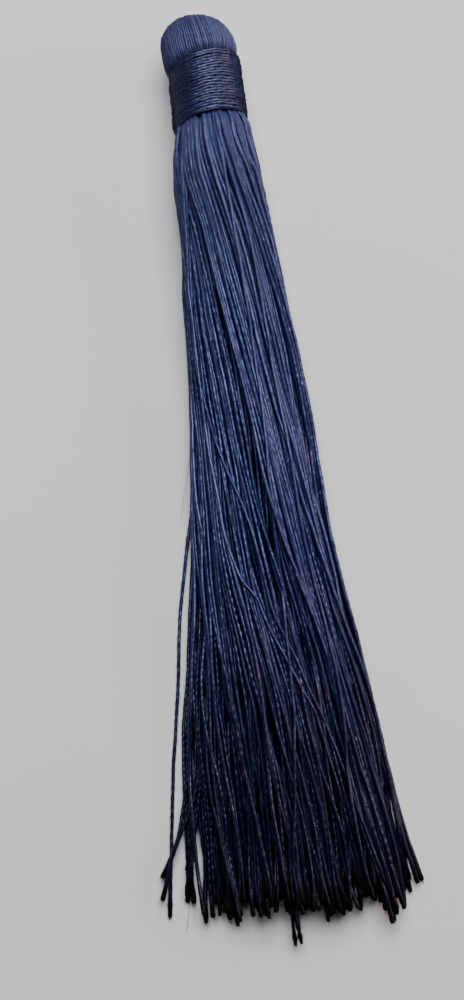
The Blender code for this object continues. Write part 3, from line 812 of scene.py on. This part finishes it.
def cling_together(paths, roots, loose, sizes, random):
    """Draw neighbouring strands together into locks, and let each stray a little of its own."""
    centres = roots[random.choice(len(roots), sizes.lock_count, replace=False)]
    for _ in range(LOCK_ROUNDS):
        nearest = np.argmin(np.hypot(*(roots[:, None] - centres[None]).transpose(2, 0, 1)), axis=1)
        for lock in range(len(centres)):
            if (nearest == lock).any():
                centres[lock] = roots[nearest == lock].mean(axis=0)
    grid = np.arange(-118.0, -3.0, 1.0)
    lines = at_levels(paths, grid)
    left, right = lines[:, :, 0].min(axis=0), lines[:, :, 0].max(axis=0)
    pulls = random.uniform(*PULL_RANGE, len(centres)) * sizes.cling
    waves = random.uniform(0.0, math.tau, (len(paths), 2))
    lengths = random.uniform(*WAVE_LENGTHS, (len(paths), 2))
    kicks = random.normal(0.0, END_KICK, (len(paths), 2))
    drawn = []
    for index, path in enumerate(paths):
        if index in loose:
            drawn.append(path)
            continue
        middle = np.median(lines[nearest == nearest[index]], axis=0)
        y = path[:, 1]
        room = np.minimum(lines[index, :, 0] - left, right - lines[index, :, 0])
        *targets, room = (
            np.interp(-y, -grid[::-1], values[::-1]) for values in (middle[:, 0], middle[:, 1], room))
        apart = np.hypot(*(np.column_stack(targets) - path[:, (0, 2)]).T)
        hold = ramp(-y, *HOLD_START) * np.clip(2.4 - 0.8 * apart, 0.0, 1.0)
        hold = hold * min(MOST_PULL, pulls[nearest[index]]) * np.clip(0.1 + 0.6 * room, 0.0, 1.0)
        stray = np.minimum(sizes.wander / MM * ramp(-y, *STRAY_START), 0.05 + 0.4 * room)
        moved = path.copy()
        for column, part in enumerate((0, 2)):
            wave = np.sin(waves[index, column] - math.tau * y / lengths[index, column])
            moved[:, part] += hold * (targets[column] - path[:, part])
            moved[:, part] += stray * wave * (1.0, 0.5)[column]
            end = np.clip((y[-1] - y) / KICK_LENGTH + 1.0, 0.0, 1.0)
            moved[:, part] += kicks[index, column] * end ** 2
        drawn.append(moved)
    return drawn


def infill_paths(paths, random):
    """Strands laid half way between two neighbours, under the binding and half way down."""
    laid = []
    for level, space, least, wanted in INFILL:
        places = at_levels(paths, level)
        apart = np.hypot(*(places[:, None] - places[None]).transpose(2, 0, 1))
        first, second = np.nonzero(np.triu(apart < space, 1))
        middles = 0.5 * (places[first] + places[second]) - AXIS
        far = np.nonzero(np.hypot(*middles.T) > least)[0]
        for index in random.choice(far, min(wanted, len(far)), replace=False):
            one, other = paths[first[index]], paths[second[index]]
            end = max(one[-1, 1], other[-1, 1]) + random.uniform(0.0, 1.5)
            y = np.append(-np.arange(INFILL_START, -end, PATH_STEP), end)
            x, z = (0.5 * (at_level(one, y, part) + at_level(other, y, part)) for part in (0, 2))
            laid.append(np.column_stack([x, y, np.maximum(z - 0.1, 0.25)]))
    return laid


def round_shoulder(paths):
    """Strands on top leave the binding no farther out than the ones beside them."""
    below, farthest = np.array(SHOULDER).T
    for path in paths:
        outwards = path[:, (0, 2)] - AXIS
        least = np.interp(-path[:, 1], below, farthest) / np.hypot(*outwards.T)
        drawn_in = np.maximum(1.0 - least, 0.0) * ramp(path[:, 2], *TOP_STRANDS)
        path[:, (0, 2)] -= outwards * drawn_in[:, None]


def settle_down(paths, kept, thickness):
    """Bring each strand that stands clear of the others back to them: down, then inwards."""
    grid = np.arange(*SETTLE_RANGE, 1.0)
    across, height = np.array(at_levels(paths, -grid).transpose(2, 0, 1), order="C")
    middle = np.array([across.mean(axis=0), 0.6 * height.mean(axis=0)])
    over, beside = (gap * thickness for gap in SETTLED_GAPS)
    faded = ramp(grid, SETTLE_RANGE[0], 3.0) * ramp(SETTLE_RANGE[1] - grid, 0.0, 10.0)

    def eased(amount):
        """The most of an amount nearby, evened out along the strand."""
        return faded * evened(np.max([np.roll(amount, shift) for shift in (-2, 0, 2)], axis=0), 3)

    for index, path in enumerate(paths):
        high = ramp(height[index], *HIGH_STRANDS)
        cover = covered(height, across - across[index], 2.0 * thickness, thickness)
        cover[index] = 0.0
        rest = np.maximum(cover.max(axis=0), 0.5 * thickness)
        drop = eased(np.maximum(height[index] - rest - over, 0.0))
        drop *= high if index in kept else 1.0
        height[index] -= drop
        apart = np.hypot(across - across[index], height - height[index])
        apart[index] = FAR
        gap = high * np.maximum(apart.min(axis=0) - beside, 0.0)
        inwards = middle - np.array([across[index], height[index]])
        shift = eased(gap) * inwards / np.hypot(*inwards)
        across[index] += shift[0]
        height[index] += shift[1]
        path[:, 0] += np.interp(-path[:, 1], grid, shift[0])
        path[:, 2] += np.interp(-path[:, 1], grid, shift[1] - drop)


def skirt_paths(sizes, edge):
    """Paths of all the skirt's strands."""
    random = np.random.default_rng(sizes.seed + 1)
    strands = frame_strands()
    loose = follow_loose_lines(strands)
    paths = [skirt_path(strand, edge) for strand in strands]
    roots = np.array([strand[0][[0, 2]] for strand in strands])
    paths = cling_together(paths, roots, loose, sizes, random)
    paths += infill_paths(paths, random)
    round_shoulder(paths)
    settle_down(paths, loose, sizes.thickness / MM)
    return paths + crossing_paths(paths, sizes.thickness / MM)


def showing_share(paths, thickness):
    """How much of each strand shows from above and from the sides."""
    cuts = at_levels(paths, np.arange(-110.0, -9.0, 2.0), right=np.nan).transpose(1, 0, 2)
    seen = np.zeros(len(paths))
    for degrees, weight in SIDES_SEEN:
        towards = np.array([math.cos(math.radians(degrees)), math.sin(math.radians(degrees))])
        depth, side = cuts @ towards, cuts @ np.array([-towards[1], towards[0]])
        for shift in (-0.3, 0.0, 0.3):
            place = side + shift * thickness
            covers = np.abs(side[:, None, :] - place[:, :, None]) < 0.5 * thickness
            nearer = depth[:, None, :] > depth[:, :, None] + 0.1 * thickness
            hidden = (covers & nearer).any(axis=2)
            seen += weight * (~hidden & ~np.isnan(depth)).sum(axis=0)
    return seen


class TASSEL_OT_skirt(bpy.types.Operator):
    """Lay the twisted strands of the skirt"""

    bl_idname = "tassel.skirt"
    bl_label = "Lay Skirt"

    def execute(self, context):
        sizes = context.scene.tassel_skirt
        finish = thread_finish("skirt_thread", "skirt")
        random = np.random.default_rng(sizes.seed)
        paths = skirt_paths(sizes, context.scene.tassel_binding)
        order = np.argsort(-showing_share(paths, sizes.thickness / MM))
        # a thread's two plies lie side by side where it leaves the binding, its groove facing out
        facing = [math.atan2(path[0, 2] - AXIS[1], path[0, 0]) / math.tau - 0.25 for path in paths]
        phases = facing + 0.5 * random.integers(0, 2, len(paths)) + random.normal(0.0, 0.04, len(paths))
        phases %= 1.0
        girths = random.normal(1.0, GIRTH_SPREAD, len(paths)).clip(*GIRTH_RANGE)
        tightness = 0.15 + 1.1 * random.uniform(0.0, 1.0, len(paths)) ** 1.4
        tightness += [np.clip(-0.06 * (path[-1, 0] + 4.0), 0.0, 0.15) for path in paths]
        outer = sorted(order[:sizes.outer_count], key=lambda i: paths[i][-1, 0])
        inner = sorted(order[sizes.outer_count:-sizes.hidden_count])
        cuts = [index * len(outer) // OUTER_PIECES for index in range(OUTER_PIECES + 1)]
        # name, strands, rings a turn, points round a strand
        groups = [
            ("skirt_strands_%d" % (index + 1), outer[cuts[index]:cuts[index + 1]], 7, 8)
            for index in range(OUTER_PIECES)
        ]
        groups.append(("skirt_strands_inner_1", inner[0::2], 4, 5))
        groups.append(("skirt_strands_inner_2", inner[1::2], 4, 5))
        groups.append(("skirt_strands_hidden", sorted(order[-sizes.hidden_count:]), 2.5, 4))
        for name, members, rings, profile in groups:
            chosen = [(paths[i], phases[i], girths[i], tightness[i]) for i in members]
            piece = lay_threads(
                name, chosen, finish, sizes, ring_spacing=sizes.turn_length / rings, profile_points=profile)
            take_place([piece], "hank")
        return {"FINISHED"}


# ---- head

HEAD_TUCK = (
    # along, inset from the widest radius: how the folded threads run in under the binding
    (0.40, 1.05), (2.00, 1.00), (2.80, 0.55), (3.35, 0.16),
)
CORE_NECK = (
    # along, radius, 0 for the slant of the binding's low edge or 1 for its high edge's, lowest place
    (-5.3, 4.0, 0, 0.5), (2.0, 4.1, 1, 0.5), (3.0, 4.3, 1, 0.4),
)
DOME_STEPS = 9  # points from the widest ring to the crown
LEAN_START = 1.5  # the head leans from here on
LEAN_MORE = (2.5, 0.012)  # it leans faster this far beyond, by this much a square millimetre
CROWN_WIDTH = 0.97  # width of the row of threads over the crown, in head radii
RANK_JITTER = 0.14  # unevenness of the row, in threads
THREAD_INSET = 0.47  # depth of a thread's middle under the head's outside, in thicknesses
THREAD_UNDER = 0.04  # most that a thread lies deeper
CORE_INSET = 0.68  # depth of the core under the outside, in thicknesses
RING_COLUMNS = 48  # corners of a ring round the axis


def lean_over(sizes, along):
    """How far the head has leaned to the left at a distance along the axis."""
    beyond = np.maximum(0.0, along - LEAN_START)
    start, more = LEAN_MORE
    return sizes.lean * beyond + more * np.maximum(0.0, beyond - start) ** 2


def dome_reach(sizes, inset):
    """Place of the head's widest ring, the way from there to the crown, and the widest radius."""
    widest = sizes.widest / MM
    return widest, float(HANK_HIGH[1]) - inset - widest, sizes.radius / MM - inset


def dome_radius(sizes, along, inset):
    """Radius of the head beyond its widest ring."""
    widest, reach, full = dome_reach(sizes, inset)
    part = np.clip((along - widest) / reach, 0.0, 1.0)
    return full * (1.0 - part ** sizes.fullness) ** (1.0 / sizes.fullness)


def dome_along(sizes, radius, inset):
    """Where along the axis the head has this radius, beyond its widest ring."""
    widest, reach, full = dome_reach(sizes, inset)
    return widest + reach * (1.0 - (abs(radius) / full) ** sizes.fullness) ** (1.0 / sizes.fullness)


def head_loop(sizes, slant, rank, inset):
    """One thread of the head: up the front, over the crown and down the back.

    Rank runs from -1 at the left to 1 at the right.
    """
    widest, _, full = dome_reach(sizes, inset)
    turn = 0.5 * math.pi * (1.0 - rank)
    neck_x = full * math.cos(turn)
    crown_x = CROWN_WIDTH * full * rank
    crown_y = dome_along(sizes, crown_x, inset)
    front = []
    for along, tuck in HEAD_TUCK:
        radius = full - tuck
        x = radius * math.cos(turn)
        front.append((x, along + slant * x, radius * math.sin(turn)))
    for step in range(DOME_STEPS):
        y = widest + (crown_y - widest) * math.sin(0.5 * math.pi * step / DOME_STEPS)
        x = neck_x + (crown_x - neck_x) * (step / DOME_STEPS) ** 1.6
        height = math.sqrt(max(dome_radius(sizes, y, inset) ** 2 - x ** 2, 0.0))
        front.append((x, y + slant * x * (1.0 - step / DOME_STEPS), height))
    back = [(x, y, -height) for x, y, height in reversed(front)]
    loop = np.array(front + [(crown_x, crown_y, 0.0)] + back)
    loop[:, 0] -= lean_over(sizes, loop[:, 1])
    return loop + np.array([0.0, 0.0, AXIS_HEIGHT])


def axis_ring(along, radius, slant, floor):
    """Ring of points round the tassel's axis, flattened at the floor."""
    ring = []
    for column in range(RING_COLUMNS):
        angle = math.tau * column / RING_COLUMNS
        x = radius * math.cos(angle)
        ring.append((x, along + slant * x, max(AXIS_HEIGHT + radius * math.sin(angle), floor)))
    return ring


def ring_body(name, rings, finish, sleeve=False):
    """Closed body through rings of points in millimetres: its ends filled, or joined as a sleeve."""
    work = bmesh.new()
    layers = [[work.verts.new(tuple(part * MM for part in place)) for place in ring] for ring in rings]
    walls = layers + layers[:1] if sleeve else layers
    for lower, upper in zip(walls, walls[1:]):
        for column in range(RING_COLUMNS):
            after = (column + 1) % RING_COLUMNS
            work.faces.new((lower[column], lower[after], upper[after], upper[column]))
    for layer in [] if sleeve else [layers[0], layers[-1]]:
        middle = Vector()
        for corner in layer:
            middle += corner.co / RING_COLUMNS
        centre = work.verts.new(middle)
        for column in range(RING_COLUMNS):
            work.faces.new((layer[column], layer[(column + 1) % RING_COLUMNS], centre))
    bmesh.ops.recalc_face_normals(work, faces=work.faces)
    mesh = bpy.data.meshes.new(name)
    work.to_mesh(mesh)
    work.free()
    mesh.shade_smooth()
    mesh.materials.append(finish)
    return put_in_scene(name, mesh)


class TASSEL_OT_head(bpy.types.Operator):
    """Fold the threads over the head"""

    bl_idname = "tassel.head"
    bl_label = "Fold Head"

    def execute(self, context):
        sizes = context.scene.tassel_head
        edge = context.scene.tassel_binding
        finish = thread_finish("head_thread", "head")
        random = np.random.default_rng(sizes.seed)
        thickness = sizes.thickness / MM
        paths = []
        for index in range(sizes.loop_count):
            rank = 2.0 * (index + 0.5 + RANK_JITTER * random.uniform(-1.0, 1.0)) / sizes.loop_count - 1.0
            inset = THREAD_INSET * thickness + THREAD_UNDER * random.uniform(0.0, 1.0)
            loop = head_loop(sizes, edge.high_slant, rank, inset)
            paths.append((loop, random.uniform(), random.normal(1.0, 0.05), random.uniform(0.3, 1.2)))
        threads = lay_threads(
            "head_threads", paths, finish, sizes,
            ring_spacing=sizes.turn_length / 8.0, sway=0.05 * MM, sway_length=4.0 * MM)
        inset = CORE_INSET * thickness
        slants = (edge.low_slant, edge.high_slant)
        rings = [axis_ring(along, radius, slants[end], floor) for along, radius, end, floor in CORE_NECK]
        for step in range(DOME_STEPS):
            angle = 0.5 * math.pi * step / DOME_STEPS
            along = dome_along(sizes, (sizes.radius / MM - inset) * math.cos(angle), inset)
            rings.append(axis_ring(along, dome_radius(sizes, along, inset), 0.0, 0.4))
        rings = [[(x - lean_over(sizes, y), y, z) for x, y, z in ring] for ring in rings]
        take_place([threads, ring_body("head_core", rings, finish)], "hank")
        return {"FINISHED"}


# ---- binding

TURN_COLUMNS = 40  # points of the winding's path a turn
TURN_START = 0.62  # where round the neck the winding starts, in turns
CREST_JITTER = 0.05  # unevenness of the turns' height
TURN_JITTER = 0.07  # unevenness of their places
TUCK_TURNS = 4.0  # last turns that sink towards the head
TUCK_DEPTH = 0.30  # how far they sink
WINDING_PHASE = 0.29897  # gives the wound thread its own shade
SLEEVE_DEPTH = 0.38  # depth of the sleeve under the crests, in thicknesses
SLEEVE_INNER = 4.62  # radius inside the sleeve
SLEEVE_FLOOR = 0.22  # height of its flattened underside


class TASSEL_OT_binding(bpy.types.Operator):
    """Wind the binding round the neck"""

    bl_idname = "tassel.binding"
    bl_label = "Wind Binding"

    def execute(self, context):
        sizes = context.scene.tassel_binding
        finish = thread_finish("wound_thread", "binding")
        random = np.random.default_rng(sizes.seed)
        thick = sizes.thickness / MM
        low, high = sizes.low_edge / MM, sizes.high_edge / MM
        lift = random.normal(0.0, 1.0, (sizes.turn_count + 2, 2))
        wound = []
        for step in range(sizes.turn_count * TURN_COLUMNS + 1):
            turns = step / TURN_COLUMNS
            part = turns / sizes.turn_count
            index = int(turns)
            blend = turns - index
            rise = lift[index] * (1.0 - blend) + lift[index + 1] * blend
            crest = CREST_RADIUS - 0.5 * thick + CREST_JITTER * rise[0]
            crest -= TUCK_DEPTH * max(0.0, TUCK_TURNS - (sizes.turn_count - turns)) / TUCK_TURNS
            slant = sizes.low_slant + (sizes.high_slant - sizes.low_slant) * part
            angle = math.tau * (turns + TURN_START)
            x = crest * math.cos(angle)
            along = low + 0.45 * thick + (high - low - 0.9 * thick) * part + TURN_JITTER * rise[1]
            wound.append((x, along + slant * x, AXIS_HEIGHT + crest * math.sin(angle)))
        threads = lay_threads(
            "binding_winding", [(np.array(wound), WINDING_PHASE, 1.0, 1.0)], finish, sizes,
            ring_spacing=sizes.turn_length / 8.0, sway=0.08 * MM, sway_length=2.2 * MM)
        outer = CREST_RADIUS - SLEEVE_DEPTH * thick
        profile = (
            # along, radius, slant
            (low + 0.10, outer - 0.10, sizes.low_slant),
            (low + 0.30, outer, sizes.low_slant),
            (high - 2.20, outer - 0.05, sizes.high_slant),
            (high - 0.50, outer - 0.36, sizes.high_slant),
            (high - 0.30, outer - 0.50, sizes.high_slant),
            (high - 0.15, SLEEVE_INNER, sizes.high_slant),
            (low + 0.15, SLEEVE_INNER + 0.15, sizes.low_slant),
        )
        rings = [axis_ring(*place, SLEEVE_FLOOR) for place in profile]
        take_place([threads, ring_body("binding_base", rings, finish, sleeve=True)], "binding")
        return {"FINISHED"}


# ---- loose fibres

STRAY_FIBRES = (
    # start and end: across, along, height, then how far the middle bows across
    (-6.6, -44.0, 3.2, -10.1, -60.0, 0.5, 0.35),
    (-14.1, -108.5, 0.4, -15.2, -113.6, 0.2, 0.15),
    (-3.2, -88.0, 4.2, 0.4, -101.5, 4.0, 0.20),
)
FIBRE_STEP = 1.5  # distance between a fibre's points
TUFT_SPREAD = 0.16  # how far a tuft's fibres stand from the strand's middle


class TASSEL_OT_fuzz(bpy.types.Operator):
    """Add the loose fibres and the tufts at the cut ends"""

    bl_idname = "tassel.fuzz"
    bl_label = "Add Loose Fibres"

    def execute(self, context):
        sizes = context.scene.tassel_fuzz
        finish = thread_finish("skirt_thread", "skirt")
        finish.name = "loose_fibre"
        random = np.random.default_rng(sizes.seed)
        strands = skirt_paths(context.scene.tassel_skirt, context.scene.tassel_binding)
        paths = []
        for x0, y0, z0, x1, y1, z1, bow in STRAY_FIBRES:
            middle = (0.5 * (x0 + x1) + bow, 0.5 * (y0 + y1), 0.5 * (z0 + z1))
            line = smooth_run(np.array([(x0, y0, z0), middle, (x1, y1, z1)]), FIBRE_STEP)
            paths.append((line, 0.5, 1.0, 0.0))
        for _ in range(sizes.loose_count):
            line = smooth_run(strands[random.integers(len(strands))][2:], FIBRE_STEP)
            first = random.integers(0, len(line) - 8)
            piece = line[first:first + int(random.integers(3, 7))].copy()
            away = np.linspace(0.0, 1.0, len(piece))[:, None] ** 1.5
            drift = np.array([random.normal(0.0, 0.9), 0.0, random.uniform(0.2, 0.9)])
            paths.append((piece + away * drift + np.array([0.0, 0.0, 0.2]), random.uniform(), 0.8, 0.0))
        for strand in strands:
            end = strand[-1]
            run = end - strand[-2]
            run = run / np.linalg.norm(run)
            for _ in range(sizes.tuft_count):
                out = random.normal(0.0, 1.0, 3) * TUFT_SPREAD
                start = end + out - run * random.uniform(0.3, 0.8)
                tip = end + out * 1.4 + run * random.uniform(0.05, 0.22)
                middle = 0.5 * (start + tip) + random.normal(0.0, 0.03, 3)
                paths.append((np.array([start, middle, tip]), random.uniform(), 1.2, 0.0))
        fibres = lay_threads(
            "loose_fibres", paths, finish, sizes, turn_length=4.0 * MM, ring_spacing=0.9 * MM,
            profile_points=4, plies=1, groove_depth=0.0)
        take_place([fibres], "hank")
        return {"FINISHED"}


# ---- stage

LIGHTS = (
    # name, place, point it faces, size across, size along, share of the sky strength, colour
    ("sky_beyond_head", (0.10, 0.44, 0.60), (0.10, 0.44, 0.00), 0.58, 0.84, 1.00, (0.92, 0.95, 1.00)),
    ("low_sky_right", (0.60, 0.05, 0.22), (0.00, -0.02, 0.00), 0.50, 0.22, 0.26, (1.00, 0.76, 0.71)),
)
STUDIO_AIR = {"Color": (0.80, 0.84, 0.95), "Strength": 0.045}


def floor_finish(tint):
    """Plain pale floor with a faint mottle."""
    material, sheet, shader = new_material("plain_floor")
    place = sheet.take("ShaderNodeTexCoord", output="Object")
    mottle = sheet.take("ShaderNodeTexNoise", {"Vector": place, "Scale": 60.0, "Detail": 4.0})
    sheet.fill(shader, {
        "Base Color": sheet.mix(mottle, *two_tones(tint, 0.97, 1.03)),
        "Roughness": 0.85,
        "Specular IOR Level": 0.2,
    })
    return material


class TASSEL_OT_stage(bpy.types.Operator):
    """Set the floor, the lights and the camera"""

    bl_idname = "tassel.stage"
    bl_label = "Set Stage"

    def execute(self, context):
        stage = context.scene.tassel_stage
        work = bmesh.new()
        bmesh.ops.create_grid(work, x_segments=1, y_segments=1, size=1.5)
        mesh = bpy.data.meshes.new("floor")
        work.to_mesh(mesh)
        work.free()
        mesh.materials.append(floor_finish(stage.floor))
        put_in_scene("floor", mesh)

        for name, place, aim, across, along, part, tint in LIGHTS:
            lamp = bpy.data.lights.new(name, "AREA")
            lamp.shape = "RECTANGLE"
            lamp.size = across
            lamp.size_y = along
            lamp.energy = stage.sky_power * part
            lamp.color = tint
            light = put_in_scene(name, lamp)
            light.location = place
            light.rotation_euler = (Vector(aim) - Vector(place)).to_track_quat("-Z", "Y").to_euler()

        world = bpy.data.worlds.new("studio")
        world.use_nodes = True
        NodeSheet(world.node_tree).fill(world.node_tree.nodes["Background"], STUDIO_AIR)
        context.scene.world = world

        down = Vector((-math.sin(stage.lean), -math.cos(stage.lean), 0.0))
        back = math.sin(stage.tilt) * down + math.cos(stage.tilt) * Vector((0.0, 0.0, 1.0))
        right = Vector((math.cos(stage.lean), -math.sin(stage.lean), 0.0))
        lens = bpy.data.cameras.new("camera")
        lens.lens = stage.lens
        lens.sensor_width = 36.0
        lens.sensor_fit = "AUTO"
        lens.clip_start = 0.01
        lens.clip_end = 10.0
        camera = put_in_scene("camera", lens)
        turn = Matrix((right, back.cross(right), back)).transposed().to_4x4()
        camera.matrix_world = Matrix.Translation(Vector(stage.aim) + stage.distance * back) @ turn
        context.scene.camera = camera
        return {"FINISHED"}


# ---- panel and registration

class TASSEL_PT_panel(bpy.types.Panel):
    """Tassel pieces and their sizes"""

    bl_label = "Tassel"
    bl_idname = "TASSEL_PT_panel"
    bl_space_type = "VIEW_3D"
    bl_region_type = "UI"
    bl_category = "Tassel"

    def draw(self, context):
        for label, holder, group, operator in SECTIONS:
            box = self.layout.box()
            box.label(text=label)
            for name in group.__annotations__:
                box.prop(getattr(context.scene, holder), name)
            if operator:
                box.operator(operator.bl_idname)


SECTIONS = (
    # label, property group on the scene, its class, operator
    ("Colours", "tassel_colours", TasselColours, None),
    ("Skirt", "tassel_skirt", TasselSkirtSizes, TASSEL_OT_skirt),
    ("Head", "tassel_head", TasselHeadSizes, TASSEL_OT_head),
    ("Binding", "tassel_binding", TasselBindingSizes, TASSEL_OT_binding),
    ("Loose fibres", "tassel_fuzz", TasselFuzzSizes, TASSEL_OT_fuzz),
    ("Stage", "tassel_stage", TasselStageSettings, TASSEL_OT_stage),
)
GROUPS = [group for _, _, group, _ in SECTIONS]
OPERATORS = [operator for _, _, _, operator in SECTIONS if operator]
CLASSES = (*GROUPS, *OPERATORS, TASSEL_PT_panel)


def register():
    """Register the classes and put the sizes on the scene."""
    for item in CLASSES:
        bpy.utils.register_class(item)
    for _, holder, group, _ in SECTIONS:
        setattr(bpy.types.Scene, holder, bpy.props.PointerProperty(type=group))


def unregister():
    """Take the sizes and the classes away again."""
    for _, holder, _, _ in SECTIONS:
        delattr(bpy.types.Scene, holder)
    for item in reversed(CLASSES):
        bpy.utils.unregister_class(item)


def main():
    """Register the classes, then build every piece and the stage."""
    register()
    for operator in OPERATORS:
        getattr(bpy.ops.tassel, operator.bl_idname.split(".")[1])()


if __name__ == "__main__":
    main()
